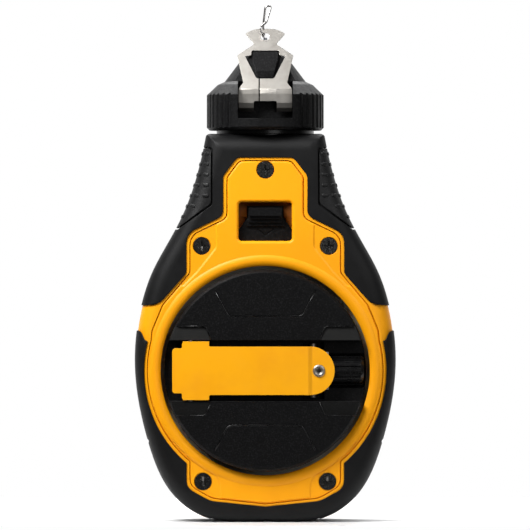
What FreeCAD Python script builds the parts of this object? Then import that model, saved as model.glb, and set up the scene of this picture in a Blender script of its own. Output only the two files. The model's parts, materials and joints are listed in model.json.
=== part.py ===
import FreeCAD, Part
import math
import os
import re

from FreeCAD import Placement, Rotation, Vector

# Chalk line reel, upright: +Z towards the line hook, front (crank side) towards -Y, +X to the
# right. The origin is the centre of the bottom of its box. Depths are given as "front": the
# distance forward of the parting plane, so a point at front 20 has y = -20.

SIZES = {
    # housing
    "axis_z": 58.0, "body_top": 148.7, "face": 19.4, "back": 21.8, "rubber_back": 23.5,
    "rubber": 2.2, "proud": 0.5, "wall": 2.2, "edge_round": 6.5, "core_round": 4.5,
    # cover plate and screws; the plate lies below the rubber's face by "proud"
    "opening_radius": 40.0, "rim_radius": 46.4, "plate_radius": 45.0, "plate_depth": 2.0,
    "seam": 0.25, "plate_front": 18.9, "lip": 0.5, "dish": 0.35, "screw_sunk": 0.45,
    "screw_head": 3.2, "screw_top": 134.8, "screw_mid_x": 24.3, "screw_mid_z": 105.7,
    "screw_low_x": 23.8, "screw_low_z": 15.6,
    # lock
    "window_half": 10.2, "window_low": 107.6, "window_high": 122.4, "lock_travel": 5.0,
    "slide_front": 14.6, "slide_thick": 2.4,
    # crank disc and arm
    "disc_radius": 38.6, "disc_front": 23.0, "disc_back": 7.4, "disc_bevel": 1.1,
    "channel_half": 11.65, "channel_floor": 17.0, "hinge_x": -28.6, "hinge_front": 21.6,
    "hinge_pin": 0.8, "arm_front": 23.5, "arm_thick": 1.4, "arm_half": 9.25, "arm_end": 26.5,
    "rivet_x": 20.5, "knob_pin_x": 18.3, "knob_front": 15.2, "knob_radius": 5.9,
    "knob_end": 37.7, "knob_start": 24.6, "spindle": 1.6, "fit": 0.05,
    # gears
    "gear_module": 1.0, "sun_teeth": 24, "planet_teeth": 12, "ring_teeth": 48,
    "gear_front": 6.8, "gear_back": 2.8, "planet_pin": 1.5, "well_radius": 40.6, "well_wall": 2.0,
    # spool and axle
    "axle": 2.5, "washer_front": 13.0, "flange_radius": 35.0, "flange": 2.0, "spool_front": 2.2,
    "spool_back": -19.2, "hub_radius": 9.0, "winding_radius": 28.0, "line_radius": 0.7,
    # neck and cap
    "neck_radius": 18.7, "neck_tube": 15.5, "neck_bore": 13.5, "neck_top": 150.1, "neck_low": 138.0,
    "cap_low": 150.2, "cap_radius": 22.5, "plug_radius": 13.2, "felt_radius": 9.5,
    "cap_shoulder": 163.7, "cap_waist": 18.3, "cap_bend": 167.7, "cap_top": 168.9, "nose_base": 15.6, "nose_top": 181.2, "nose_tip": 6.3,
    # hook
    "hook_lean": 0.52, "hook_thick": 1.2, "hook_hole_front": 2.5, "hook_hole_z": 186.2,
    "clip_wire": 0.4, "clip_top": 198.6,
}

doc = FreeCAD.newDocument("chalk_line_reel")
sheet = doc.addObject("Spreadsheet::Sheet", "dims")
for row, (alias, value) in enumerate(SIZES.items(), 1):
    sheet.set(f"A{row}", alias)
    sheet.set(f"B{row}", str(value))
    sheet.setAlias(f"B{row}", alias)
doc.recompute()
nodes = []


def size(name):
    return float(sheet.get(name))


def bind(obj, prop, expression):
    """Bind a property to an expression in the sheet's aliases."""
    obj.setExpression(prop, re.sub(r"[a-z][a-z_]*", lambda word: "dims." + word.group(), expression))


def node(obj, label):
    """Mark a document object as a sub-part, under the name of its file."""
    obj.Label = label
    nodes.append(obj)
    return obj


def place(obj, x, front, z, turn=None):
    if turn:
        obj.Placement = Placement(Vector(), turn)
    bind(obj, "Placement.Base.x", x)
    bind(obj, "Placement.Base.y", f"-({front})")
    bind(obj, "Placement.Base.z", z)


def cylinder(radius, front, back, x="0", z="axis_z"):
    """A cylinder along Y, from its back depth to its front depth."""
    obj = doc.addObject("Part::Cylinder", "cylinder")
    bind(obj, "Radius", radius)
    bind(obj, "Height", f"({front}) - ({back})")
    place(obj, x, back, z, Rotation(Vector(1, 0, 0), 90))
    return obj


def upright(radius, low, high, x="0", front="0"):
    """A cylinder along Z."""
    obj = doc.addObject("Part::Cylinder", "upright")
    bind(obj, "Radius", radius)
    bind(obj, "Height", f"({high}) - ({low})")
    place(obj, x, front, low)
    return obj


def cone(low_radius, high_radius, low, high):
    obj = doc.addObject("Part::Cone", "cone")
    bind(obj, "Radius1", low_radius)
    bind(obj, "Radius2", high_radius)
    bind(obj, "Height", f"({high}) - ({low})")
    place(obj, "0", "0", low)
    return obj


def box(x_low, x_high, front, back, z_low, z_high):
    obj = doc.addObject("Part::Box", "box")
    bind(obj, "Length", f"({x_high}) - ({x_low})")
    bind(obj, "Width", f"({front}) - ({back})")
    bind(obj, "Height", f"({z_high}) - ({z_low})")
    place(obj, x_low, front, z_low)
    return obj


def ring(outer, inner, front, back, x="0", z="axis_z"):
    return cut(cylinder(outer, front, back, x, z), cylinder(inner, f"{front} + 1", f"{back} - 1", x, z))


def solid(shape, name="form"):
    """A shape made with Part's own functions, as a document object."""
    obj = doc.addObject("Part::Feature", name)
    obj.Shape = shape
    return obj


def join(*parts):
    obj = doc.addObject("Part::MultiFuse", "join")
    obj.Shapes = list(parts)
    obj.Refine = True
    return obj


def cut(base, *tools):
    obj = doc.addObject("Part::Cut", "cut")
    obj.Base = base
    obj.Tool = tools[0] if len(tools) == 1 else join(*tools)
    obj.Refine = True
    return obj


def common(*parts):
    obj = doc.addObject("Part::MultiCommon", "common")
    obj.Shapes = list(parts)
    return obj


def rounded(points):
    """Edges of a closed outline in the XZ plane. Each point is (x, z, corner radius)."""
    edges = []
    starts, ends = [], []
    count = len(points)
    for index, (x, z, radius) in enumerate(points):
        here = Vector(x, 0, z)
        before = Vector(points[index - 1][0], 0, points[index - 1][1])
        after = Vector(points[(index + 1) % count][0], 0, points[(index + 1) % count][1])
        to_before = (before - here).normalize()
        to_after = (after - here).normalize()
        half = to_before.getAngle(to_after) / 2
        run = radius / math.tan(half) if radius else 0
        starts.append(here + to_before * run)
        ends.append(here + to_after * run)
        if radius:
            bisector = (to_before + to_after).normalize()
            middle = here + bisector * (radius / math.sin(half) - radius)
            edges.append((index, Part.Arc(starts[-1], middle, ends[-1])))
    outline = []
    arcs = dict(edges)
    for index in range(count):
        if index in arcs:
            outline.append(arcs[index])
        following = starts[(index + 1) % count]
        if (following - ends[index]).Length > 1e-6:
            outline.append(Part.LineSegment(ends[index], following))
    return outline


def mirrored(half):
    """A whole outline from its right half, which starts and ends on the middle line."""
    left = [(-x, z, radius) for x, z, radius in reversed(half) if x > 0]
    return list(half) + left


def prism(points, front, back):
    """A solid between two depths from the points of an outline in the XZ plane."""
    wire = Part.Wire([piece.toShape() for piece in rounded(points)])
    face = Part.Face(wire)
    face.translate(Vector(0, -back, 0))
    return face.extrude(Vector(0, back - front, 0))


def padded(points, front, back, name):
    """A PartDesign body: a sketch on the XZ plane, padded forward from one depth to another."""
    body = doc.addObject("PartDesign::Body", name)
    plane = next(item for item in body.Origin.OriginFeatures if item.Role == "XZ_Plane")
    sketch = body.newObject("Sketcher::SketchObject", name + "_sketch")
    sketch.AttachmentSupport = [(plane, "")]
    sketch.MapMode = "FlatFace"
    bind(sketch, "AttachmentOffset.Base.z", back)
    for piece in rounded(points):
        flat = piece.copy()
        flat.rotate(Placement(Vector(), Rotation(Vector(1, 0, 0), -90)))
        sketch.addGeometry(flat)
    pad = body.newObject("PartDesign::Pad", name + "_pad")
    pad.Profile = sketch
    bind(pad, "Length", f"({front}) - ({back})")
    return body


# --- Housing outlines ---------------------------------------------------------------------------

AXIS = size("axis_z")
FACE = size("face")
TOP = size("body_top")
DEEP = 40.0          # further than any part of the housing reaches in depth
CORNER = 2.3         # radius of the body's top corners, and their centres
CORNER_X = 20.9
CORNER_Z = 146.4

HALF_BODY = [(0, 0), (22, 1.4), (34.5, 9.5), (45, 31), (50, 61), (47.4, 83.4), (43.3, 95.7),
             (36.6, 108.1), (30.4, 120.4), (26.2, 132.7), (22.6, TOP)]


def body_wire(inset, depth):
    """The housing's outline at a depth, moved inwards by an inset."""
    whole = [Vector(-x, 0, z) for x, z in reversed(HALF_BODY[1:])] + [Vector(x, 0, z) for x, z in HALF_BODY]
    curve = Part.BSplineCurve()
    curve.interpolate(whole)
    if inset:
        normals = [curve.tangent(curve.parameter(point))[0] for point in whole]
        whole = [point + Vector(-way.z, 0, way.x) * inset for point, way in zip(whole, normals)]
        whole[0].z = TOP - inset
        whole[-1].z = TOP - inset
        curve.interpolate(whole)
    top = Part.makeLine(whole[-1], whole[0])
    wire = Part.Wire([curve.toShape(), top])
    wire.translate(Vector(0, -depth, 0))
    return wire


def envelope(inset, depth, edge):
    """Half of the housing's form, from the parting plane to a depth, with its far edge rounded.

    A negative depth is behind the parting plane.
    """
    sign = math.copysign(1, depth)
    straight = Part.Face(body_wire(inset, 0)).extrude(Vector(0, sign * edge - depth, 0))
    steps = 4
    turns = [math.pi / 2 * step / steps for step in range(steps + 1)]
    sections = [body_wire(inset + edge * (1 - math.cos(turn)),
                          depth - sign * edge * (1 - math.sin(turn))) for turn in turns]
    return straight.fuse(Part.makeLoft(sections, True, False))


def corner_tools():
    """What is taken off the body's two top corners to round them."""
    tools = []
    for side in (1, -1):
        block = Part.makeBox(8, 2 * DEEP, 8, Vector(CORNER_X if side > 0 else -CORNER_X - 8, -DEEP, CORNER_Z))
        tools.append(block.cut(Part.makeCylinder(CORNER, 2 * DEEP, Vector(side * CORNER_X, DEEP, CORNER_Z),
                                                 Vector(0, -1, 0))))
    return tools


def yellow_window():
    """The region, seen from the front, where the yellow casing shows between the rubber parts."""
    shoulder = mirrored([(0, 139.6, 0), (10.7, 139.6, 3), (16.15, 132.4, 3), (16.15, 117.2, 3.5),
                         (30.2, 110.3, 6), (30.2, 95.2, 3), (40.6, 83.4, 7), (60, 82.2, 0), (60, 73.2, 0),
                         (47.6, 73.2, 1.5), (46.0, 69.5, 2), (0, 60, 0)])
    tongue = mirrored([(0, 6.0, 0), (21, 8.2, 10), (30.1, 13.2, 5), (30.1, 24.2, 2), (34, 28, 0), (0, 30, 0)])
    disc = Part.makeCylinder(size("rim_radius"), 2 * DEEP, Vector(0, DEEP, AXIS), Vector(0, -1, 0))
    return prism(shoulder, DEEP, -DEEP).multiFuse([prism(tongue, DEEP, -DEEP), disc]).removeSplitter()


def cover_wire(gap):
    """The cover plate's outline, grown by a gap all round."""
    upper = prism(mirrored([(0, 138.2, 0), (9.8, 138.2, 3), (14.55, 131.9, 3), (14.55, 116.3, 3.5),
                            (28.7, 109.5, 5.5), (28.7, 95.4, 3), (39.2, 83.0, 6), (43.3, 73.0, 8),
                            (43.9, 62, 0), (0, 58, 0)]), 1, 0)
    lower = prism(mirrored([(0, 7.1, 0), (20.4, 9.3, 9), (28.7, 14.1, 4.5), (28.7, 26, 0), (0, 30, 0)]), 1, 0)
    disc = Part.makeCylinder(size("plate_radius"), 1, Vector(0, 0, AXIS), Vector(0, -1, 0))
    whole = upper.multiFuse([lower, disc]).removeSplitter()
    face = next(item for item in whole.Faces if abs(item.CenterOfMass.y) < 1e-6)
    return face.OuterWire.makeOffset2D(gap) if gap else face.OuterWire


def cover_prism(gap, front, back):
    face = Part.Face(cover_wire(gap))
    face.translate(Vector(0, -back, 0))
    return face.extrude(Vector(0, back - front, 0))


WINDOW = yellow_window()
SHELL = size("rubber") + size("wall")
BACK = size("back")
ROUND = size("edge_round")
CORE_ROUND = size("core_round")
HOLLOW_ROUND = 2.0

corners = corner_tools()
front_form = envelope(0, FACE, ROUND).cut(corners)
front_core = envelope(size("rubber"), FACE - size("rubber"), CORE_ROUND)
front_hollow = envelope(SHELL, FACE - SHELL, HOLLOW_ROUND)
rubber_form = envelope(0, -size("rubber_back"), ROUND).cut(corners)
back_core = envelope(size("rubber"), -BACK, CORE_ROUND)
back_hollow = envelope(SHELL, size("wall") - BACK, HOLLOW_ROUND)

UPPER = Part.makeBox(200, 2 * DEEP, 200, Vector(-100, -DEEP, AXIS + 20))
LOWER = Part.makeBox(200, 2 * DEEP, AXIS + 20, Vector(-100, -DEEP, 0))


# --- Grip pads in the shoulders' rubber ---------------------------------------------------------

PAD_DEPTH = 1.2
PAD_GAP = 0.6


def pad_region(gap):
    """The region, seen from the front, of the right grip pad."""
    return prism([(20.8 - gap, 143.0 + gap, 1.5), (20.8 - gap, 122.0 - gap, 2), (33.5, 112.6 - gap, 0),
                  (60, 112.6 - gap, 0), (60, 143.0 + gap, 0)], FACE + 1, -21.0 - gap)


inner_front = envelope(PAD_DEPTH, FACE - PAD_DEPTH, ROUND - PAD_DEPTH)
inner_back = envelope(PAD_DEPTH, PAD_DEPTH - size("rubber_back"), ROUND - PAD_DEPTH)
pad_backing = inner_front.fuse(inner_back)
right_pad = pad_region(0).common(front_form.fuse(rubber_form)).cut(pad_backing)
left_pad = right_pad.mirror(Vector(), Vector(1, 0, 0))
right_pocket = pad_region(PAD_GAP).cut(pad_backing)
left_pocket = right_pocket.mirror(Vector(), Vector(1, 0, 0))
node(solid(right_pad), "right_grip_pad")
node(solid(left_pad), "left_grip_pad")


# --- Rubber overmould ---------------------------------------------------------------------------

NOTCH = 1.1            # radius of the bumper's shallow grooves, whose centres lie outside it
notches = [Part.makeCylinder(NOTCH, 2 * DEEP, Vector(x, DEEP, z), Vector(0, -1, 0))
           for x, z in ((0, -0.7), (20.5, 0.3), (-20.5, 0.3), (45.7, 30.8), (-45.7, 30.8))]
front_rubber = front_form.cut(WINDOW).cut(front_core).cut(notches)
back_rubber = rubber_form.cut(WINDOW).cut(back_core).cut(notches)
neck_hole = upright("neck_tube", "body_top - 20", "body_top + 5")
for label, rubber in (("front", front_rubber), ("rear", back_rubber)):
    shoulders = solid(rubber.common(UPPER).cut([left_pocket, right_pocket]), label + "_shoulders")
    node(cut(shoulders, neck_hole), label + "_upper_grip")
    node(solid(rubber.common(LOWER)), label + "_lower_bumper")


# --- Casing halves, cover plate and screws ------------------------------------------------------

SCREWS = {"top": ("0", "screw_top"),
          "upper_left": ("-screw_mid_x", "screw_mid_z"), "upper_right": ("screw_mid_x", "screw_mid_z"),
          "lower_left": ("-screw_low_x", "screw_low_z"), "lower_right": ("screw_low_x", "screw_low_z")}


def screw_form(x, z, tip):
    """A cover screw: a head with rounded rim, a shank and a cross recess."""
    head = cylinder("screw_head", "plate_front - screw_sunk", "plate_front - 1.7", x, z)
    shank = cylinder("screw_head / 2.4", "plate_front - 1.7", tip, x, z)
    floor = "plate_front - 1.5"
    across = box(f"{x} - 1.9", f"{x} + 1.9", "face", floor, f"{z} - 0.4", f"{z} + 0.4")
    down = box(f"{x} - 0.4", f"{x} + 0.4", "face", floor, f"{z} - 1.9", f"{z} + 1.9")
    return cut(join(head, shank), across, down)


screws = []
seats = []
bosses = []
back_bosses = []
for name, (x, z) in SCREWS.items():
    deep = name != "top"
    tip = "-12" if deep else "9"
    screws.append(screw_form(x, z, tip))
    seats.append(join(cylinder("screw_head + 0.25", "face + 1", "plate_front - 1.7", x, z),
                      cylinder("screw_head / 2.4", "face", tip, x, z)))
    bosses.append(cylinder("3.4", "face - rubber - wall + 0.5", "0" if deep else "8", x, z))
    if deep:
        back_bosses.append(cylinder("3.4", "0", "wall - back - 0.5", x, z))
node(join(*screws), "cover_screws")

PLATE_FRONT = size("plate_front")
PLATE_BACK = PLATE_FRONT - size("plate_depth")
LIP = size("lip")
DISH = size("dish")


def revolved(profile):
    """A solid of revolution about the crank's axis from edges in (radius, front)."""
    face = Part.Face(Part.Wire(profile))
    return face.revolve(Vector(0, 0, AXIS), Vector(0, 1, 0), 360)


def at(radius, front):
    """A point of a profile that is turned about the crank's axis."""
    return Vector(radius, -front, AXIS)


# The lip is a rounded ring round the opening: its inner side falls below the plate's face.
LIP_IN = size("opening_radius")
LIP_OUT = size("plate_radius") - 0.8
LIP_TOP = (LIP_IN + LIP_OUT) / 2 + 0.2
lip = revolved([Part.Arc(at(LIP_IN, PLATE_FRONT - LIP), at(LIP_TOP, PLATE_FRONT + LIP),
                         at(LIP_OUT, PLATE_FRONT)).toShape(),
                Part.makeLine(at(LIP_OUT, PLATE_FRONT), at(LIP_OUT, PLATE_BACK)),
                Part.makeLine(at(LIP_OUT, PLATE_BACK), at(LIP_IN, PLATE_BACK)),
                Part.makeLine(at(LIP_IN, PLATE_BACK), at(LIP_IN, PLATE_FRONT - LIP))])
lip_room = Part.makeCylinder(LIP_OUT, 10, Vector(0, 0.5 - PLATE_BACK, AXIS), Vector(0, -1, 0))


def edge_rounded(shape, radius, chosen=None):
    """The shape with the edges of its front face rounded, or only those that are chosen."""
    front_edges = [edge for edge in shape.Edges
                   if max(abs(edge.BoundBox.YMin + PLATE_FRONT), abs(edge.BoundBox.YMax + PLATE_FRONT)) < 1e-4]
    picked = [edge for edge in front_edges if chosen is None or chosen(edge)]
    return shape.makeFillet(radius, picked)


def dish_tool(outline):
    """A shallow recess with sloped sides round a screw."""
    low = Part.Wire([piece.toShape() for piece in rounded(outline)])
    high = low.makeOffset2D(DISH_SLOPE)
    low.translate(Vector(0, DISH - PLATE_FRONT, 0))
    high.translate(Vector(0, -PLATE_FRONT - 0.001, 0))
    return Part.makeLoft([low, high], True, True)


DISH_SLOPE = 0.7
EDGE = 0.8           # radius of the plate's outer edge
upper_dish = [(19.0, 119, 0), (19.0, 105.2, 3), (26.2, 96.0, 2), (31.4, 90.7, 0), (36, 90.7, 0), (36, 119, 0)]
lower_dish = [(17.5, 3, 0), (17.5, 15.2, 6.5), (22.4, 22.0, 3), (29, 26.2, 0), (36, 31, 0), (36, 3, 0)]
dishes = []
for side in (1, -1):
    for outline in (upper_dish, lower_dish):
        dishes.append(dish_tool([(side * x, z, radius) for x, z, radius in outline]))
plate_sheet = edge_rounded(cover_prism(0, PLATE_FRONT, PLATE_BACK), EDGE)
sheet_form = plate_sheet.cut(dishes).cut(lip_room)
WINDOW_HALF = size("window_half")
WINDOW_LOW = size("window_low")
WINDOW_HIGH = size("window_high")
WINDOW_EDGE = 1.2    # radius of the window's edge
window_outline = [(-WINDOW_HALF, WINDOW_LOW, 1.3), (WINDOW_HALF, WINDOW_LOW, 1.3),
                  (WINDOW_HALF, WINDOW_HIGH, 1.3), (-WINDOW_HALF, WINDOW_HIGH, 1.3)]
window_form = prism(window_outline, FACE + 1, 14.0)


def by_window(edge):
    centre = edge.BoundBox.Center
    return abs(centre.x) < WINDOW_HALF + 0.1 and WINDOW_LOW + 0.1 < centre.z < WINDOW_HIGH + 0.1


windowed = edge_rounded(sheet_form.cut(window_form), WINDOW_EDGE, by_window)
plate_blank = solid(windowed.fuse(lip), "plate_blank")
lock_window = solid(window_form, "lock_window")
node(cut(plate_blank, *seats), "cover_plate")

plate_recess = solid(cover_prism(size("seam"), FACE + 1, PLATE_BACK), "plate_recess")
well = cylinder("well_radius", "face", "disc_back - 0.4")
front_yellow = envelope(size("proud"), PLATE_FRONT, ROUND)
front_outer = solid(front_yellow.common(WINDOW).fuse(front_core), "front_outer")
front_inner = solid(front_hollow, "front_inner")
front_shell = join(cut(front_outer, front_inner), *bosses)
# Behind the window the casing's sides slope inwards to the thumb pad.
FUNNEL_FRONT = PLATE_BACK
FUNNEL_BACK = size("slide_front") + 0.2
outer_corners = [(WINDOW_HALF, WINDOW_LOW), (WINDOW_HALF, 111.8), (WINDOW_HALF, 117.0), (WINDOW_HALF, WINDOW_HIGH)]
inner_corners = [(WINDOW_HALF, WINDOW_LOW), (WINDOW_HALF, 111.8), (6.9, 116.6), (6.9, 121.0)]


def funnel_wire(half, depth):
    points = [Vector(x, -depth, z) for x, z in half + [(-x, z) for x, z in reversed(half)]]
    return Part.makePolygon(points + points[:1])


funnel_hole = Part.makeLoft([funnel_wire(outer_corners, FUNNEL_FRONT), funnel_wire(inner_corners, FUNNEL_BACK)],
                            True, True)
funnel_block = Part.makeBox(2 * WINDOW_HALF + 1.6, FUNNEL_FRONT - FUNNEL_BACK, 12.4,
                            Vector(-WINDOW_HALF - 0.8, -FUNNEL_FRONT, 110.8))
funnel = solid(funnel_block.cut(funnel_hole), "funnel")
opened = cut(front_shell, plate_recess, well, lock_window, neck_hole, *seats)
node(join(opened, funnel), "front_casing")
node(ring("well_radius + well_wall", "well_radius", "face - rubber - wall", "disc_back - 0.4"), "disc_well")

back_yellow = envelope(size("proud"), -BACK, ROUND)
back_outer = solid(back_yellow.common(WINDOW).fuse(back_core), "back_outer")
back_inner = solid(back_hollow, "back_inner")
back_shell = join(cut(back_outer, back_inner), *back_bosses)
axle_flange = cylinder("axle * 2", "wall - back - 0.8", "0.8 - back")
axle_root = cylinder("axle", "wall - back + 1", "wall - back - 1")
node(cut(back_shell, neck_hole, axle_flange, axle_root, *seats), "rear_casing")


# --- Lock: slide behind the window, brake shoe over the spool, detent spring -----------------------

slide_back = "slide_front - slide_thick"
slide_plate = box("-12.6", "12.6", "slide_front", slide_back, "106", "128.6")
thumb_pad = solid(prism([(-6.35, 117.1, 0.6), (6.35, 117.1, 0.6), (6.35, 120.3, 0.6), (-6.35, 120.3, 0.6)],
                        18.6, 14.0), "thumb_pad")
steps = [box(f"-{5.6 + 0.8 * step}", f"{5.6 + 0.8 * step}", f"17.6 - {step}", "slide_front - 0.5",
             f"{115.9 - 1.3 * step}", f"{118 - step}") for step in range(3)]
arrow = solid(prism([(-3.5, 112.2, 0), (-2.6, 112.2, 0), (0, 110.0, 0), (2.6, 112.2, 0), (3.5, 112.2, 0),
                     (0, 109.3, 0)], 16, 14.3), "arrow")
web = box("-5", "5", "slide_front - 0.5", "-0.4", "106", "109")
node(cut(join(slide_plate, thumb_pad, web, *steps), arrow), "lock_slide")
shoe_blank = box("-6", "6", "2.0", "-0.4", "97.2", "106")
shoe_rim = cylinder("flange_radius + lock_travel + 0.3", "3", "-2")
node(cut(shoe_blank, shoe_rim), "brake_shoe")
node(box("-4", "4", f"{slide_back} - 0.2", f"{slide_back} - 0.7", "112", "126"), "lock_spring")


# --- Crank disc, its bush and pins ------------------------------------------------------------------

CHANNEL = size("channel_half")
DISC_FRONT = size("disc_front")


def strip(points, width, front, back):
    """A ribbon of equal width along a line of points in the XZ plane, between two depths."""
    pieces = []
    for start, end in zip(points, points[1:]):
        a = Vector(start[0], -back, start[1])
        b = Vector(end[0], -back, end[1])
        side = (b - a).normalize().cross(Vector(0, 1, 0)) * (width / 2)
        run = Part.Face(Part.makePolygon([a + side, b + side, b - side, a - side, a + side]))
        pieces.append(run.extrude(Vector(0, back - front, 0)))
        pieces.append(Part.makeCylinder(width / 2, front - back, b, Vector(0, -1, 0)))
    return pieces[0].multiFuse(pieces[1:]).removeSplitter()


disc_blank = cylinder("disc_radius", "disc_front", "disc_back")
bevelled = doc.addObject("Part::Cone", "bevel")
bind(bevelled, "Radius1", "disc_radius + 4")
bind(bevelled, "Radius2", "disc_radius - disc_bevel")
bind(bevelled, "Height", "4 + disc_bevel")
place(bevelled, "0", "disc_front - 4 - disc_bevel", "axis_z", Rotation(Vector(1, 0, 0), 90))
bevel_rest = cylinder("disc_radius + 4", "disc_front - 4 - disc_bevel", "disc_back")
disc_body = common(disc_blank, join(bevelled, bevel_rest))
channel = box("-40", "40", "disc_front + 1", "channel_floor", "axis_z - channel_half",
              "axis_z + channel_half")
hinge_pocket = box("-40", "-20.6", "20", "14.2", "axis_z - channel_half", "axis_z + channel_half")
bracket_pocket = box("14.2", "22.6", "20", "11.9", "axis_z - 11", "axis_z + 11")
knob_pocket = box("20", "40", "20", "8.9", "axis_z - 6.6", "axis_z + 6.6")
washer_pocket = cylinder("6.4", "18", "12.2")
bush_hole = cylinder("4", "20", "0")


def section_prism(points, half_width):
    """A solid along X from points (front, z) of a section."""
    corners = [Vector(-half_width, -front, z) for front, z in points]
    return Part.Face(Part.makePolygon(corners + corners[:1])).extrude(Vector(2 * half_width, 0, 0))


scallops = []
for up in (1, -1):
    ramp = section_prism([(DISC_FRONT - 0.15, AXIS + up * (CHANNEL - 1)), (DISC_FRONT - 0.8, AXIS + up * (CHANNEL + 6)),
                          (DISC_FRONT + 1, AXIS + up * (CHANNEL + 6)), (DISC_FRONT + 1, AXIS + up * (CHANNEL - 1))], 50)
    for side in (1, -1):
        points = [(20.4, CHANNEL - 1, 0), (22.8, CHANNEL + 5.4, 1.6), (45, CHANNEL + 5.4, 0), (45, CHANNEL - 1, 0)]
        outline = [(side * x, AXIS + up * z, radius) for x, z, radius in points]
        scallops.append(solid(prism(outline, DISC_FRONT + 1, DISC_FRONT - 2.2).common(ramp), "scallop"))
lines = []
for up in (1, -1):
    corners = [(-19.2, AXIS + up * 30.5), (-14.6, AXIS + up * 21.8), (-13, AXIS + up * 20.8),
               (13, AXIS + up * 20.8), (14.6, AXIS + up * 21.8), (19.2, AXIS + up * 30.5)]
    lines.append(solid(strip(corners, 0.7, DISC_FRONT + 1, DISC_FRONT - 0.3), "emboss"))
pin_bore = upright("hinge_pin", "axis_z - 13.4", "axis_z + 13.4", "hinge_x", "hinge_front")
PLANETS = [90, 210, 330]
ORBIT = size("gear_module") * (size("sun_teeth") + size("planet_teeth")) / 2
centres = [(ORBIT * math.cos(math.radians(turn)), ORBIT * math.sin(math.radians(turn))) for turn in PLANETS]
planet_pins = [cylinder("planet_pin", "disc_back + 3", "gear_back + 0.1", f"{x:.5f}", f"axis_z + {z:.5f}")
               for x, z in centres]
node(cut(disc_body, channel, hinge_pocket, bracket_pocket, knob_pocket, washer_pocket, bush_hole, pin_bore,
         *scallops, *lines, *planet_pins), "crank_disc")
node(join(*planet_pins), "planet_pins")
node(upright("hinge_pin", "axis_z - 13.2", "axis_z + 13.2", "hinge_x", "hinge_front"), "arm_hinge_pin")
node(ring("4", "axle + fit", "12.2", "disc_back"), "crank_bush")


# --- Crank arm, bracket, rivet, spindle and knob ----------------------------------------------------

ARM_FRONT = size("arm_front")
ARM_HALF = size("arm_half")
ARM_END = size("arm_end")
JOGGLE = 0.6
arm_outline = [(-35.5, AXIS + 8.6, 1.2), (-31.8, AXIS + 8.6, 0.5), (-31.8, AXIS + 11.2, 1.2),
               (-21.4, AXIS + 11.2, 1.0), (-21.4, AXIS + ARM_HALF, 0.6), (ARM_END, AXIS + ARM_HALF, 9.24),
               (ARM_END, AXIS - ARM_HALF, 9.24), (-21.4, AXIS - ARM_HALF, 0.6), (-21.4, AXIS - 11.2, 1.0),
               (-31.8, AXIS - 11.2, 1.2), (-31.8, AXIS - 8.6, 0.5), (-35.5, AXIS - 8.6, 1.2)]
arm_flat = padded(arm_outline, "arm_front + 1", "arm_front - 8", "arm_flat")


def side_prism(points, low, high):
    """A solid along Z from points (x, front) of a side outline."""
    corners = [Vector(x, -front, low) for x, front in points]
    return Part.Face(Part.makePolygon(corners + corners[:1])).extrude(Vector(0, 0, high - low))


THICK = size("arm_thick")
arm_section = [(-36, ARM_FRONT), (16.4, ARM_FRONT), (17.9, ARM_FRONT - JOGGLE), (28, ARM_FRONT - JOGGLE),
               (28, ARM_FRONT - JOGGLE - THICK), (17.5, ARM_FRONT - JOGGLE - THICK),
               (16.0, ARM_FRONT - THICK), (-36, ARM_FRONT - THICK)]
arm_sheet = solid(side_prism(arm_section, AXIS - 12, AXIS + 12), "arm_sheet")
flange_side = [(-31.4, ARM_FRONT), (-21.4, ARM_FRONT), (-21.4, ARM_FRONT - 2.6), (-26, ARM_FRONT - 3.6),
               (-31.4, ARM_FRONT - 3.6)]
flanges = [solid(side_prism(flange_side, AXIS + low, AXIS + low + 1.2), "flange") for low in (10.0, -11.2)]
arm_pin_hole = upright("hinge_pin + fit", "axis_z - 15", "axis_z + 15", "hinge_x", "hinge_front")
rivet_hole = cylinder("1.5", "arm_front + 1", "arm_front - 4", "rivet_x")
node(cut(join(common(arm_flat, arm_sheet), *flanges), arm_pin_hole, rivet_hole), "crank_arm")

under_arm = f"arm_front - arm_thick - {JOGGLE}"
bracket_plate = box("15.4", "24.2", under_arm, f"{under_arm} - 0.9", "axis_z - 7.2", "axis_z + 7.2")
ears = [box("15.4", "21.2", f"{under_arm} - 0.5", "12.6", f"axis_z + {low}", f"axis_z + {low + 1.0}")
        for low in (6.2, -7.2)]
cross_hole = upright("1.2", "axis_z - 12", "axis_z + 12", "knob_pin_x", "knob_front")
node(cut(join(bracket_plate, *ears), cross_hole, rivet_hole), "knob_bracket")
RIVET_X = size("rivet_x")
RIVET_SEAT = ARM_FRONT - JOGGLE


def rivet_point(radius, front):
    return Vector(RIVET_X + radius, -front, AXIS)


rolled = Part.Face(Part.Wire([Part.Arc(rivet_point(2.4, RIVET_SEAT), rivet_point(1.7, RIVET_SEAT + 0.65),
                                       rivet_point(1.0, RIVET_SEAT)).toShape(),
                              Part.makeLine(rivet_point(1.0, RIVET_SEAT), rivet_point(2.4, RIVET_SEAT))]))
rivet_head = solid(rolled.revolve(Vector(RIVET_X, 0, AXIS), Vector(0, 1, 0), 360), "rivet_head")
rivet = join(rivet_head, cylinder("1.5", f"arm_front - {JOGGLE}", f"{under_arm} - 0.9", "rivet_x"),
             cylinder("2.0", f"{under_arm} - 0.9", f"{under_arm} - 1.3", "rivet_x"))
node(cut(rivet, cylinder("0.85", "arm_front + 1", "10", "rivet_x")), "arm_rivet")
node(upright("1.2", "axis_z - 10.3", "axis_z + 10.3", "knob_pin_x", "knob_front"), "knob_cross_pin")


def along_x(radius, start, end):
    """A cylinder along X on the knob's axis."""
    obj = doc.addObject("Part::Cylinder", "lengthwise")
    bind(obj, "Radius", radius)
    bind(obj, "Height", f"({end}) - ({start})")
    place(obj, start, "knob_front", "axis_z", Rotation(Vector(0, 1, 0), 90))
    return obj


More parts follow.
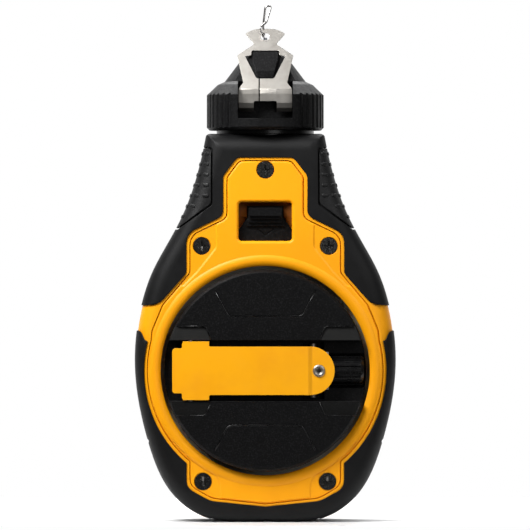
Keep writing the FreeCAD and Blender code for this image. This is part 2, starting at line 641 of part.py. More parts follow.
eye = upright("3", "axis_z - 5.9", "axis_z + 5.9", "knob_pin_x", "knob_front")
eye_hole = upright("1.2 + fit", "axis_z - 8", "axis_z + 8", "knob_pin_x", "knob_front")
shoulder = along_x("2.6", "knob_pin_x + 1", "knob_start - 0.3")
rod = along_x("spindle", "knob_start - 1", "knob_end - 1.5")
rod_head = along_x("2.3", "knob_end - 1.6", "knob_end - 0.6")
node(cut(join(eye, shoulder, rod, rod_head), eye_hole), "knob_spindle")

FLUTES = 14
barrel = along_x("knob_radius", "knob_start", "knob_end - 1.2")
nose = doc.addObject("Part::Cone", "knob_nose")
bind(nose, "Radius1", "knob_radius")
bind(nose, "Radius2", "knob_radius - 1")
bind(nose, "Height", "1.2")
place(nose, "knob_end - 1.2", "knob_front", "axis_z", Rotation(Vector(0, 1, 0), 90))
knob_bore = along_x("spindle + fit", "knob_start - 1", "knob_end")
head_pocket = along_x("2.6", "knob_end - 1.9", "knob_end + 1")
KNOB = Vector(size("knob_start") + 1.2, -size("knob_front"), AXIS)
flute = Part.makeCylinder(0.55, 20, KNOB + Vector(0, 0, size("knob_radius") + 0.1), Vector(1, 0, 0))
flutes = []
for turn in range(FLUTES):
    copy = flute.copy()
    copy.rotate(KNOB, Vector(1, 0, 0), 360 * turn / FLUTES)
    flutes.append(solid(copy, "flute"))
node(cut(join(barrel, nose), knob_bore, head_pocket, *flutes), "crank_knob")
# --- Planetary gears --------------------------------------------------------------------------------

PRESSURE = math.radians(25)
ADDENDUM = 0.85
DEDENDUM = 1.1
PLAY = 0.06           # taken off each flank, along the pitch circle
FLANK_STEPS = 4


def involute(angle):
    return math.tan(angle) - angle


def toothed(teeth, inner, outer, play, centre, first, front, back):
    """A solid with involute teeth; first is the direction of one tooth's centre, in degrees."""
    pitch = size("gear_module") * teeth / 2
    base = pitch * math.cos(PRESSURE)
    start = max(base, inner)
    radii = [start + (outer - start) * step / FLANK_STEPS for step in range(FLANK_STEPS + 1)]
    half = math.pi / (2 * teeth) - play / pitch + involute(PRESSURE)
    flank = [(radius, half - involute(math.acos(min(1, base / radius)))) for radius in radii]
    flank = [(inner, flank[0][1])] + flank
    profile = [(radius, -turn) for radius, turn in flank] + [(radius, turn) for radius, turn in reversed(flank)]
    corners = []
    for tooth in range(teeth):
        middle = math.radians(first) + 2 * math.pi * tooth / teeth
        for radius, turn in profile:
            corners.append(Vector(centre[0] + radius * math.cos(middle + turn), -back,
                                  centre[1] + radius * math.sin(middle + turn)))
    unique = [point for point, last in zip(corners, corners[-1:] + corners) if (point - last).Length > 1e-6]
    return Part.Face(Part.makePolygon(unique + unique[:1])).extrude(Vector(0, back - front, 0))


def pitch_radius(teeth):
    return size("gear_module") * size(teeth) / 2


GEAR_FRONT = size("gear_front")
GEAR_BACK = size("gear_back")
sun_pitch = pitch_radius("sun_teeth")
planet_pitch = pitch_radius("planet_teeth")
ring_pitch = pitch_radius("ring_teeth")
sun_teeth = solid(toothed(int(size("sun_teeth")), sun_pitch - DEDENDUM, sun_pitch + ADDENDUM, PLAY,
                          (0, AXIS), 90, GEAR_FRONT, GEAR_BACK), "sun_teeth_form")
sun_boss = cylinder("hub_radius", "gear_back", "spool_front")
node(cut(join(sun_teeth, sun_boss), cylinder("axle + 2 * fit", "gear_front + 1", "0")), "sun_gear")
half_space = 180 / size("ring_teeth")
ring_space = solid(toothed(int(size("ring_teeth")), ring_pitch - ADDENDUM, ring_pitch + DEDENDUM, -PLAY,
                           (0, AXIS), 90 + half_space, GEAR_FRONT + 1, GEAR_BACK - 1), "ring_space")
ring_blank = cylinder("well_radius + well_wall", "disc_back - 0.4", "gear_back - 0.1")
node(cut(ring_blank, ring_space), "ring_gear")
half_tooth = 180 / size("planet_teeth")
for number, (x, z) in enumerate(centres, 1):
    teeth = toothed(int(size("planet_teeth")), planet_pitch - DEDENDUM, planet_pitch + ADDENDUM, PLAY,
                    (x, AXIS + z), 90 + half_tooth, GEAR_FRONT, GEAR_BACK)
    bore = cylinder("planet_pin + fit", "gear_front + 1", "gear_back - 1", f"{x:.5f}", f"axis_z + {z:.5f}")
    node(cut(solid(teeth, "planet_form"), bore), f"planet_gear_{number}")


# --- Spool, line and axle ---------------------------------------------------------------------------

front_flange = cylinder("flange_radius", "spool_front", "spool_front - flange")
back_flange = cylinder("flange_radius", "spool_back + flange", "spool_back")
hub = cylinder("hub_radius", "spool_front - 1", "spool_back + 1")
node(cut(join(front_flange, hub, back_flange), cylinder("4", "5", "-20")), "line_spool")
node(ring("4", "axle + fit", "spool_front", "spool_back"), "spool_bush")
node(ring("winding_radius", "hub_radius", "spool_front - flange", "spool_back + flange"), "line_winding")
axle_end = "washer_front - 0.6"
axle = join(cylinder("axle", axle_end, "0.8 - back"), axle_flange)
node(cut(axle, cylinder("1.2", "14", "4")), "main_axle")
node(ring("5.4", "1.2", "washer_front", axle_end), "axle_washer")
node(join(cylinder("3.6", "washer_front + 2.4", "washer_front"), cylinder("1.2", "washer_front", "4")),
     "axle_screw")


def rod_along(points, bend, radius):
    """A round rod along straight runs joined by tangent arcs."""
    edges = []
    start = points[0]
    for before, here, after in zip(points, points[1:], points[2:]):
        to_before = (before - here).normalize()
        to_after = (after - here).normalize()
        half = to_before.getAngle(to_after) / 2
        turn = min(bend, 0.45 * min((before - here).Length, (after - here).Length) * math.tan(half))
        run = turn / math.tan(half)
        bisector = (to_before + to_after).normalize()
        enter = here + to_before * run
        leave = here + to_after * run
        edges.append(Part.makeLine(start, enter))
        edges.append(Part.Arc(enter, here + bisector * (turn / math.sin(half) - turn), leave).toShape())
        start = leave
    edges.append(Part.makeLine(start, points[-1]))
    path = Part.Wire(edges)
    section = Part.Wire([Part.makeCircle(radius, points[0], points[1] - points[0])])
    rod = path.makePipeShell([section], True, True)
    print(f"rod: length {path.Length:.1f}, volume {rod.Volume:.1f} of {path.Length * math.pi * radius ** 2:.1f}")
    return rod


LINE = size("line_radius")
GUIDE_Z = size("neck_low")
reach = size("winding_radius") + LINE + 0.3
lean = math.acos(reach / (GUIDE_Z - AXIS))
leave = Vector(reach * math.sin(lean), 8, AXIS + reach * math.cos(lean))
node(solid(rod_along([leave, Vector(0, 0, GUIDE_Z), Vector(0, 0, 151.9)], 12, LINE)), "line_inner")


# --- Neck, line guide and seal ----------------------------------------------------------------------

collar = join(upright("neck_radius", "body_top", "neck_top"), upright("neck_tube", "neck_low", "body_top"))
seal_groove = cut(upright("17.4", "149.2", "151"), upright("16.2", "149", "151"))
node(cut(collar, upright("neck_bore", "neck_low - 1", "neck_top + 1"), seal_groove), "neck_collar")
node(cut(upright("17.4", "149.2", "neck_top"), upright("16.2", "149", "151")), "neck_seal")
fill_holes = []
for turn in range(0, 360, 60):
    fill_holes.append(upright("3", "neck_low - 1", "neck_low + 4", f"{8 * math.cos(math.radians(turn)):.5f}",
                              f"{8 * math.sin(math.radians(turn)):.5f}"))
node(cut(upright("neck_bore", "neck_low", "neck_low + 1.6"), upright("line_radius + 1", "neck_low - 1",
         "neck_low + 4"), *fill_holes), "line_guide")


# --- Cap, felt wiper and nose -----------------------------------------------------------------------

CAP_LOW = size("cap_low")
CAP_RADIUS = size("cap_radius")
cap_body = join(cone("cap_radius - 1", "cap_radius", "cap_low", "cap_low + 1"),
                upright("cap_radius", "cap_low + 1", "cap_shoulder"),
                cone("cap_radius", "cap_waist", "cap_shoulder", "cap_bend"),
                cone("cap_waist", "nose_base", "cap_bend", "cap_top"),
                upright("plug_radius", "neck_low + 3", "cap_low + 1"))
panel_face = solid(prism(mirrored([(0, 151.2, 0), (13.3, 151.2, 0.8), (13.3, 160.4, 1), (11, 163.0, 1),
                                   (0, 163.0, 0)]), 30, 0), "panel_face")
panel = common(panel_face, upright("cap_radius + 0.45", "cap_low", "cap_top"))
slot = box("-10.5", "10.5", "30", "9", "154.4", "cap_top + 1")
felt_room = upright("felt_radius + fit", "neck_low + 2", "151.6")
line_hole = upright("1.2", "150", "nose_top + 1")
stem_hole = upright("7", "160", "cap_top + 1")
grooves = []
RIB_STEP = 8
for side in (0, 180):
    for turn in range(38, 143, RIB_STEP):
        way = math.radians(side + turn)
        middle = Vector((CAP_RADIUS + 0.1) * math.sin(way), (CAP_RADIUS + 0.1) * math.cos(way), CAP_LOW + 0.9)
        grooves.append(Part.makeCylinder(0.75, size("cap_shoulder") - CAP_LOW - 0.4, middle))
groove_set = solid(Part.makeCompound(grooves), "groove_set")
node(cut(join(cap_body, panel), slot, felt_room, line_hole, stem_hole, groove_set), "screw_cap")
node(cut(upright("felt_radius", "neck_low + 4", "151.5"), upright("line_radius + 0.3", "neck_low", "155")),
     "felt_wiper")
node(cut(upright("felt_radius", "neck_low + 3", "neck_low + 4"), upright("5", "neck_low", "155")),
     "felt_retainer")

HOLE_Z = size("hook_hole_z")
LEAN = size("hook_lean")


def hook_front(z):
    """How far forward the middle of the hook's leaning sheet is at a height."""
    return size("hook_hole_front") + (HOLE_Z - z) * LEAN


NOSE_LOW = size("cap_top")
slope = section_prism([(hook_front(NOSE_LOW - 1) - 1.1, NOSE_LOW - 1), (hook_front(184) - 1.1, 184), (40, 184),
                       (40, NOSE_LOW - 1)], 20)
nose_body = join(cone("nose_base", "nose_tip", "cap_top", "nose_top"), upright("7", "160", "cap_top + 1"))
boss_side = section_prism([(4, 170.3), (10.1, 170.3), (10.1, 172.9), (hook_front(180.4) + 0.7, 180.4),
                           (1, 180.4)], 8)
boss_face = prism(mirrored([(0, 180.4, 0), (4.85, 180.4, 0.5), (4.85, 177.4, 1.5), (2.9, 170.3, 1.0),
                            (0, 170.3, 0)]), 20, 0)
boss = solid(boss_side.common(boss_face), "boss")
node(cut(join(cut(nose_body, solid(slope, "slope")), boss), line_hole), "cap_nose")


# --- Line lead, clip and hook -----------------------------------------------------------------------

node(upright("line_radius", "152", f"hook_hole_z + 0.1 - clip_wire"), "line_lead")
CLIP_BEND = size("clip_top") - size("clip_wire")
clip_route = [(-1.9, 4.4, 189.4), (-0.9, 5.0, HOLE_Z + 0.1), (-0.3, -2.2, HOLE_Z + 0.1), (-0.8, -2.2, 189.6),
              (-0.6, -0.5, 192.4), (0.1, -0.4, CLIP_BEND), (2.3, -0.4, CLIP_BEND), (0.4, 0.7, 191.9),
              (-1.5, 2.8, 190.1)]
clip_points = [Vector(x, -front, z) for x, front, z in clip_route]
node(solid(rod_along(clip_points, 1.1, size("clip_wire"))), "hook_clip")

HOOK_THICK = size("hook_thick")
bends = [(hook_front(190.2), 190.2), (hook_front(167.0), 167.0), (hook_front(166.4) + 0.4, 165.6),
         (hook_front(166.4) + 0.6, 164.0), (hook_front(166.4) + 0.6, 160.6), (hook_front(166.4) + 0.1, 158.9),
         (hook_front(166.4) - 1.2, 157.7)]
sheet_pieces = []
for (front, z), (next_front, next_z) in zip(bends, bends[1:]):
    a = Vector(-12, -front, z)
    b = Vector(-12, -next_front, next_z)
    side = (b - a).normalize().cross(Vector(1, 0, 0)) * (HOOK_THICK / 2)
    run = Part.Face(Part.makePolygon([a + side, b + side, b - side, a - side, a + side]))
    sheet_pieces.append(run.extrude(Vector(24, 0, 0)))
    sheet_pieces.append(Part.makeCylinder(HOOK_THICK / 2, 24, b, Vector(1, 0, 0)))
bent = sheet_pieces[0].multiFuse(sheet_pieces[1:])
hook_outline = mirrored([(0, 189.3, 0), (5.0, 189.2, 9), (7.7, 187.3, 0.4), (4.2, 183.3, 0.6),
                         (10.8, 178.9, 0.8), (8.4, 168.3, 0.8), (10.2, 165.9, 0.8), (10.2, 156, 0),
                         (4.4, 156, 0), (4.4, 161.2, 0.6)])
hook_face = prism(hook_outline, 30, -10)
hook_window = prism(mirrored([(0, 180.8, 0), (5.25, 180.8, 0.5), (5.4, 179.0, 0.3), (7.8, 178.6, 0.3),
                              (7.1, 177.3, 0.3), (3.4, 169.9, 1.2), (0, 169.9, 0)]), 30, -10)
hook_hole = prism([(-1.7, HOLE_Z - 1.3, 1.1), (1.7, HOLE_Z - 1.3, 1.1), (1.7, HOLE_Z + 1.3, 1.1),
                   (-1.7, HOLE_Z + 1.3, 1.1)], 30, -10)
slit = Part.makeBox(0.5, 60, 9.2, Vector(-2.55, -40, 161.0))
node(solid(bent.common(hook_face).cut([hook_window, hook_hole, slit])), "line_hook")


# --- Write the sub-parts ------------------------------------------------------------------------

doc.recompute()
for obj in doc.Objects:
    if "Invalid" in obj.State or "Error" in obj.State:
        raise RuntimeError(f"{obj.Name} failed: {obj.State}")
for obj in nodes:
    if obj.Shape.isNull() or not obj.Shape.isValid():
        raise RuntimeError(f"{obj.Label} has no valid shape")
os.makedirs("parts", exist_ok=True)
for obj in nodes:
    obj.Shape.exportStep(f"parts/{obj.Label}.step")
    box_of = obj.Shape.BoundBox
    print(f"{obj.Label}: {obj.Shape.Volume:.0f} mm3, {len(obj.Shape.Solids)} solids, "
          f"z {box_of.ZMin:.1f} to {box_of.ZMax:.1f}")
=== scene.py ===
import json
import math

import bpy
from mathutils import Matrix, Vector
from mathutils.bvhtree import BVHTree


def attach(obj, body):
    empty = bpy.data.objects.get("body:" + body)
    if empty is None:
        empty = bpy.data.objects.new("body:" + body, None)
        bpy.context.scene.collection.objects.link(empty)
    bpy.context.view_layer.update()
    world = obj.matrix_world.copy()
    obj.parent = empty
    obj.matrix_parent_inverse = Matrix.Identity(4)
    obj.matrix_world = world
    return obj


# Chalk line reel. The frame gives the CAD nodes. This script adds their materials and softened edges, the
# nubs, beads and screw recesses that CAD leaves plain, and then the stage, the light and the camera.
# x goes right, y goes back and z goes up, so the front of the reel faces -y. Places on the reel are in
# millimetres, which MM turns into metres. The stage, the lamps and the camera are in metres.

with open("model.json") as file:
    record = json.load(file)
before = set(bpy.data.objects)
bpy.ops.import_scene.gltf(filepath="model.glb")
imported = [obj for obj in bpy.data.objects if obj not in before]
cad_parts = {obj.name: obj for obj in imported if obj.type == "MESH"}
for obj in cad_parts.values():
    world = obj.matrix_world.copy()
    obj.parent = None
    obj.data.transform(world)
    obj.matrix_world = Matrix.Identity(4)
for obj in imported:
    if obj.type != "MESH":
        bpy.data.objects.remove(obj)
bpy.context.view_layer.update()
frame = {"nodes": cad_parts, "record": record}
MM = 0.001
SIDES = {"left": -1, "right": 1}
LEVELS = {"upper": 1, "lower": -1}
AXIS_Z = 58.0


# --- Material building --------------------------------------------------------------------------

class Finish:
    """A node material under construction, with object coordinates ready for its textures."""

    def __init__(self, name, colour, roughness, metallic=0.0, coat=0.0, specular=0.5):
        self.material = bpy.data.materials.new(name)
        self.material.use_nodes = True
        self.nodes = self.material.node_tree.nodes
        self.links = self.material.node_tree.links
        self.shader = self.nodes["Principled BSDF"]
        self.shader.inputs["Base Color"].default_value = (*colour, 1)
        self.shader.inputs["Roughness"].default_value = roughness
        self.shader.inputs["Metallic"].default_value = metallic
        self.shader.inputs["Coat Weight"].default_value = coat
        self.shader.inputs["Specular IOR Level"].default_value = specular
        self.place = self.nodes.new("ShaderNodeTexCoord").outputs["Object"]
        self.height = None

    def noise(self, size, detail=3.0, stretch=(1, 1, 1)):
        """Noise whose features are about size metres across."""
        mapping = self.nodes.new("ShaderNodeMapping")
        mapping.inputs["Scale"].default_value = stretch
        self.links.new(self.place, mapping.inputs["Vector"])
        texture = self.nodes.new("ShaderNodeTexNoise")
        texture.inputs["Scale"].default_value = 1 / size
        texture.inputs["Detail"].default_value = detail
        texture.inputs["Roughness"].default_value = 0.55
        self.links.new(mapping.outputs["Vector"], texture.inputs["Vector"])
        return texture.outputs["Fac"]

    def cells(self, size):
        """Distance to the nearest of scattered points, about size metres apart."""
        texture = self.nodes.new("ShaderNodeTexVoronoi")
        texture.inputs["Scale"].default_value = 1 / size
        self.links.new(self.place, texture.inputs["Vector"])
        return texture.outputs["Distance"]

    def spread(self, value, low, high, to_low, to_high):
        """Value remapped from one range to another."""
        remap = self.nodes.new("ShaderNodeMapRange")
        remap.inputs["From Min"].default_value = low
        remap.inputs["From Max"].default_value = high
        remap.inputs["To Min"].default_value = to_low
        remap.inputs["To Max"].default_value = to_high
        self.links.new(value, remap.inputs["Value"])
        return remap.outputs["Result"]

    def tint(self, value, low, high, other):
        """Mix the base colour towards another colour where value is high."""
        mix = self.nodes.new("ShaderNodeMix")
        mix.data_type = "RGBA"
        socket = self.shader.inputs["Base Color"]
        if socket.is_linked:
            self.links.new(socket.links[0].from_socket, mix.inputs["A"])
        else:
            mix.inputs["A"].default_value = socket.default_value
        mix.inputs["B"].default_value = (*other, 1)
        self.links.new(self.spread(value, low, high, 0.0, 1.0), mix.inputs["Factor"])
        self.links.new(mix.outputs["Result"], socket)

    def uneven(self, value, low, high, to_low, to_high):
        """Vary the roughness with value."""
        self.links.new(self.spread(value, low, high, to_low, to_high), self.shader.inputs["Roughness"])

    def relief(self, value, depth):
        """Add a bump of depth metres."""
        bump = self.nodes.new("ShaderNodeBump")
        bump.inputs["Distance"].default_value = depth
        bump.inputs["Strength"].default_value = 1.0
        self.links.new(value, bump.inputs["Height"])
        if self.height:
            self.links.new(self.height, bump.inputs["Normal"])
        self.height = bump.outputs["Normal"]
        self.links.new(self.height, self.shader.inputs["Normal"])

    def within(self, centre, reach):
        """1 inside a box given by its centre and half sizes in millimetres, and 0 outside it."""
        parts = self.nodes.new("ShaderNodeSeparateXYZ")
        self.links.new(self.place, parts.inputs["Vector"])
        inside = None
        for axis, middle, half in zip("XYZ", centre, reach):
            near = self.nodes.new("ShaderNodeMath")
            near.operation = "COMPARE"
            near.inputs[1].default_value = middle * MM
            near.inputs[2].default_value = half * MM
            self.links.new(parts.outputs[axis], near.inputs[0])
            if inside:
                both = self.nodes.new("ShaderNodeMath")
                both.operation = "MULTIPLY"
                self.links.new(inside, both.inputs[0])
                self.links.new(near.outputs["Value"], both.inputs[1])
                inside = both.outputs["Value"]
            else:
                inside = near.outputs["Value"]
        return inside

    def round_edges(self, radius):
        """Catch light on edges as if they were rounded."""
        bevel = self.nodes.new("ShaderNodeBevel")
        bevel.samples = 4
        bevel.inputs["Radius"].default_value = radius
        self.height = bevel.outputs["Normal"]
        self.links.new(self.height, self.shader.inputs["Normal"])


def yellow_plastic():
    finish = Finish("yellow_plastic", (0.92, 0.365, 0.002), 0.42, specular=0.25)
    finish.round_edges(0.3 * MM)
    finish.tint(finish.noise(30 * MM), 0.35, 0.75, (0.88, 0.34, 0.002))
    finish.uneven(finish.noise(2.5 * MM, 4), 0.3, 0.7, 0.38, 0.47)
    finish.relief(finish.noise(0.35 * MM, 2), 0.008 * MM)
    # painted shade: the walls of the opening behind the lock's window are painted much darker than the cover,
    # for the shade that falls in that recess
    window_wall_shade = finish.within((0, -15.4, 117), (11.2, 1.45, 7))
    finish.tint(window_wall_shade, 0, 1, (0.11, 0.03, 0.002))
    return finish.material


def yellow_paint():
    finish = Finish("yellow_paint", (0.95, 0.41, 0.002), 0.3, coat=0.2, specular=0.4)
    finish.round_edges(0.3 * MM)
    finish.shader.inputs["Coat Roughness"].default_value = 0.15
    finish.tint(finish.noise(14 * MM), 0.4, 0.8, (0.88, 0.35, 0.004))
    finish.uneven(finish.noise(6 * MM), 0.3, 0.7, 0.28, 0.36)
    finish.relief(finish.noise(4 * MM, 2), 0.006 * MM)
    return finish.material


def black_rubber():
    finish = Finish("black_rubber", (0.0028, 0.0028, 0.003), 0.5, specular=0.2)
    finish.round_edges(0.4 * MM)
    finish.tint(finish.noise(12 * MM, 5), 0.45, 0.8, (0.006, 0.006, 0.0063))
    finish.uneven(finish.noise(3 * MM, 5), 0.3, 0.7, 0.49, 0.57)
    finish.relief(finish.noise(0.28 * MM, 2), 0.012 * MM)
    return finish.material


def grip_rubber():
    finish = Finish("grip_rubber", (0.0035, 0.0035, 0.0037), 0.45, specular=0.3)
    finish.round_edges(0.2 * MM)
    finish.uneven(finish.noise(1.5 * MM, 4), 0.3, 0.7, 0.42, 0.6)
    finish.relief(finish.cells(0.5 * MM), 0.03 * MM)
    return finish.material


def black_plastic():
    finish = Finish("black_plastic", (0.0022, 0.0022, 0.0024), 0.4, specular=0.13)
    finish.round_edges(0.3 * MM)
    # painted sheen: the hollows beside the crank's channel are painted lighter than the disc, the upper ones
    # more, for the light they catch
    hollow_sheen_colours = {"upper": (0.014, 0.014, 0.0135), "lower": (0.007, 0.007, 0.0068)}
    for side in SIDES.values():
        for level, up in LEVELS.items():
            hollow_sheen = finish.within((side * 30.5, -22.5, AXIS_Z + up * 14.3), (9.5, 0.45, 2.9))
            finish.tint(hollow_sheen, 0, 1, hollow_sheen_colours[level])
    finish.tint(finish.noise(0.55 * MM, 2), 0.5, 0.75, (0.013, 0.013, 0.0135))
    finish.uneven(finish.noise(1.0 * MM, 3), 0.3, 0.7, 0.36, 0.56)
    finish.relief(finish.noise(0.55 * MM, 2), 0.06 * MM)
    return finish.material


def gloss_black():
    finish = Finish("gloss_black", (0.003, 0.003, 0.0032), 0.25, specular=0.3)
    finish.round_edges(0.25 * MM)
    finish.uneven(finish.noise(4 * MM, 4), 0.3, 0.7, 0.18, 0.34)
    finish.relief(finish.noise(1.8 * MM, 2), 0.01 * MM)
    return finish.material


def black_screw():
    finish = Finish("black_screw", (0.15, 0.146, 0.14), 0.2, metallic=1.0, specular=0.5)
    finish.round_edges(0.06 * MM)
    finish.tint(finish.noise(0.8 * MM, 3), 0.45, 0.75, (0.08, 0.078, 0.075))
    finish.uneven(finish.noise(0.6 * MM, 3), 0.3, 0.7, 0.14, 0.3)
    finish.relief(finish.noise(0.9 * MM, 2), 0.04 * MM)
    return finish.material


def steel():
    finish = Finish("steel", (0.42, 0.40, 0.37), 0.38, metallic=1.0)
    finish.round_edges(0.15 * MM)
    streaks = finish.noise(0.4 * MM, 3, stretch=(1, 1, 0.05))
    finish.tint(finish.noise(5 * MM, 4), 0.4, 0.75, (0.35, 0.33, 0.30))
    finish.uneven(streaks, 0.25, 0.75, 0.33, 0.48)
    finish.relief(streaks, 0.012 * MM)
    return finish.material


def wire():
    finish = Finish("wire", (0.36, 0.35, 0.34), 0.2, metallic=1.0)
    finish.uneven(finish.noise(0.8 * MM, 3), 0.3, 0.7, 0.1, 0.26)
    finish.relief(finish.noise(0.5 * MM, 2), 0.01 * MM)
    return finish.material


def brass_bush():
    finish = Finish("brass_bush", (0.55, 0.36, 0.13), 0.35, metallic=1.0)
    finish.tint(finish.noise(1.0 * MM, 4), 0.45, 0.75, (0.38, 0.23, 0.08))
    finish.relief(finish.noise(0.4 * MM, 2), 0.03 * MM)
    return finish.material


def gear_plastic():
    finish = Finish("gear_plastic", (0.74, 0.72, 0.66), 0.38)
    finish.shader.inputs["Subsurface Weight"].default_value = 0.1
    finish.tint(finish.noise(8 * MM, 3), 0.45, 0.8, (0.66, 0.63, 0.55))
    finish.relief(finish.noise(0.6 * MM, 2), 0.01 * MM)
    return finish.material


STRANDS_PER_METRE = 380


def line():
    finish = Finish("line", (0.72, 0.73, 0.76), 0.85)
    wave = finish.nodes.new("ShaderNodeTexWave")
    wave.wave_type = "BANDS"
    wave.bands_direction = "DIAGONAL"
    wave.inputs["Scale"].default_value = STRANDS_PER_METRE
    wave.inputs["Distortion"].default_value = 1.5
    finish.links.new(finish.place, wave.inputs["Vector"])
    finish.tint(wave.outputs["Fac"], 0.2, 0.9, (0.42, 0.48, 0.60))
    finish.relief(wave.outputs["Fac"], 0.12 * MM)
    return finish.material


def felt():
    finish = Finish("felt", (0.62, 0.60, 0.54), 0.95)
    finish.shader.inputs["Sheen Weight"].default_value = 0.4
    finish.tint(finish.noise(0.7 * MM, 5), 0.4, 0.7, (0.46, 0.47, 0.50))
    finish.relief(finish.noise(0.3 * MM, 5), 0.15 * MM)
    return finish.material


MATERIALS = {make.__name__: make() for make in (yellow_plastic, yellow_paint, black_rubber, grip_rubber,
                                                black_plastic, gloss_black, black_screw, steel, wire,
                                                brass_bush, gear_plastic, line, felt)}


def dress(obj, slot):
    """Give a mesh the material of its slot."""
    obj.data.materials.clear()
    obj.data.materials.append(MATERIALS[slot])


for part in frame["record"]["subparts"]:
    dress(frame["nodes"][part["node"]], part["material_slot"])


# --- Edges of the CAD nodes -----------------------------------------------------------------------

SHARP_FROM = 35
MERGE_WITHIN = 0.002


def soften(node, width):
    """Round a node's edges sharper than SHARP_FROM degrees, without changing its own mesh."""
    modifiers = frame["nodes"][node].modifiers
    modifiers.new("weld", "WELD").merge_threshold = MERGE_WITHIN * MM
    bevel = modifiers.new("edges", "BEVEL")
    bevel.width = width * MM
    bevel.segments = 2
    bevel.limit_method = "ANGLE"
    bevel.angle_limit = math.radians(SHARP_FROM)
    bevel.miter_outer = "MITER_ARC"


EDGE_WIDTHS = {"cover_plate": 0.25, "front_casing": 0.25, "rear_casing": 0.3, "crank_arm": 0.35,
               "front_upper_grip": 0.35, "rear_upper_grip": 0.35, "front_lower_bumper": 0.35,
               "rear_lower_bumper": 0.35, "left_grip_pad": 0.2, "right_grip_pad": 0.2,
               "crank_disc": 0.2, "cover_screws": 0.15, "lock_slide": 0.2, "line_hook": 0.12}
for node, width in EDGE_WIDTHS.items():
    soften(node, width)


# --- Small helpers for the pieces below -------------------------------------------------------------

def piece(name, vertices, faces, body, slot, smooth=True):
    """A mesh in the row frame that rides a body."""
    mesh = bpy.data.meshes.new(name)
    mesh.from_pydata([tuple(v) for v in vertices], [], faces)
    mesh.validate()
    mesh.polygons.foreach_set("use_smooth", [smooth] * len(mesh.polygons))
    obj = bpy.data.objects.new(name, mesh)
    bpy.context.scene.collection.objects.link(obj)
    dress(obj, slot)
    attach(obj, body)
    return obj


def surface_of(node):
    """A node's surface, for finding where a line meets it."""
    mesh = frame["nodes"][node].data
    return BVHTree.FromPolygons([v.co for v in mesh.vertices], [tuple(p.vertices) for p in mesh.polygons])


def rounded_outline(width, height, radius, steps=4):
    """Points of a rounded rectangle about the origin, anticlockwise."""
    points = []
    for corner, (sx, sy) in enumerate(((1, 1), (-1, 1), (-1, -1), (1, -1))):
        for step in range(steps + 1):
            turn = math.pi / 2 * (corner + step / steps)
            points.append((sx * (width / 2 - radius) + radius * math.cos(turn),
                           sy * (height / 2 - radius) + radius * math.sin(turn)))
    return points


# --- Nubs on the grip pads --------------------------------------------------------------------------

NUB_PITCH = 4.0 * MM
NUB_LENGTH = 2.5 * MM
NUB_HEIGHT = 1.4 * MM
NUB_CORNER = 0.5 * MM
NUB_PROUD = 0.26 * MM
LOWEST_ROW = 117.0 * MM
ROW_COUNT = 7
PAD_MIDDLE_X = 8 * MM
OUTSIDE = 0.1
STEPS_PER_DEGREE = 10

# half the length and height of the flat space that a nub needs, as shares of its own length and height
SPACE_ALONG = 0.62
SPACE_UP = 0.75

# rings of a nub from its root to its top: the scale of its outline, and its height as a share of NUB_PROUD
NUB_RINGS = ((1.0, -0.3), (1.0, 0.35), (0.93, 0.75), (0.78, 1.0))


def pad_points(surface, side, z):
    """Points and normals round a pad at one height, from front to back, a small way apart."""
    centre = Vector((side * PAD_MIDDLE_X, 0, z))
    found = []
    for step in range(-90 * STEPS_PER_DEGREE, 90 * STEPS_PER_DEGREE + 1):
        turn = math.radians(step / STEPS_PER_DEGREE)
        way = Vector((side * math.cos(turn), math.sin(turn), 0))
        spot, normal, _, _ = surface.ray_cast(centre + way * OUTSIDE, -way)
        if spot:
            found.append((spot, normal))
    return found


def nub_seats(surface, side, z):
    """Seats for a row of nubs, evenly spaced along the pad."""
    seats = []
    run = NUB_PITCH / 2
    points = pad_points(surface, side, z)
    for (before, _), (spot, normal) in zip(points, points[1:]):
        run += (spot - before).length
        if run >= NUB_PITCH:
            run = 0
            seats.append((spot, normal))
    return seats


def fits(surface, spot, normal, across, up):
    """Whether the pad goes on under all four corners of a nub, with a margin round them."""
    for sx in (-1, 1):
        for sy in (-1, 1):
            corner = spot + across * (NUB_LENGTH * SPACE_ALONG * sx) + up * (NUB_HEIGHT * SPACE_UP * sy)
            if not surface.ray_cast(corner + normal * 2 * MM, -normal, 4 * MM)[0]:
                return False
    return True


def nubs(side_name, side):
    """Low rounded nubs in level rows over one grip pad."""
    surface = surface_of(side_name + "_grip_pad")
    outline = rounded_outline(NUB_LENGTH, NUB_HEIGHT, NUB_CORNER, 3)
    count = len(outline)
    vertices, faces = [], []
    for row in range(ROW_COUNT):
        for spot, normal in nub_seats(surface, side, LOWEST_ROW + row * NUB_PITCH):
            across = Vector((0, 0, 1)).cross(normal).normalized()
            up = normal.cross(across)
            if not fits(surface, spot, normal, across, up):
                continue
            start = len(vertices)
            for scale, rise in NUB_RINGS:
                for a, b in outline:
                    vertices.append(spot + across * a * scale + up * b * scale + normal * NUB_PROUD * rise)
            for ring in range(len(NUB_RINGS) - 1):
                for k in range(count):
                    low = start + ring * count
                    nxt = (k + 1) % count
                    faces.append((low + k, low + nxt, low + count + nxt, low + count + k))
            faces.append(tuple(start + (len(NUB_RINGS) - 1) * count + k for k in range(count)))
    piece(side_name + "_nubs", vertices, faces, "housing", "grip_rubber")


for side_name, side in SIDES.items():
    nubs(side_name, side)


# --- Raised beads on the crank disc -------------------------------------------------------------------

CHANNEL_HALF = 11.65
SIDES_OF_ROD = 10
LINE_RADIUS = 0.32
LINE_FRONT = 22.84
RIM_RADIUS = 0.2
RIM_FRONT = 22.95

# right halves of the routes, as (x, height over the axis), for the upper half of the disc
LINE_ROUTE = ((19.2, 30.5), (16.9, 26.1), (14.8, 22.1), (14.0, 21.2), (12.8, 20.8))
RIM_ROUTE = ((20.7, CHANNEL_HALF + 0.2), (22.2, 15.6), (22.7, 16.6), (23.6, 17.05), (33.2, 17.05))


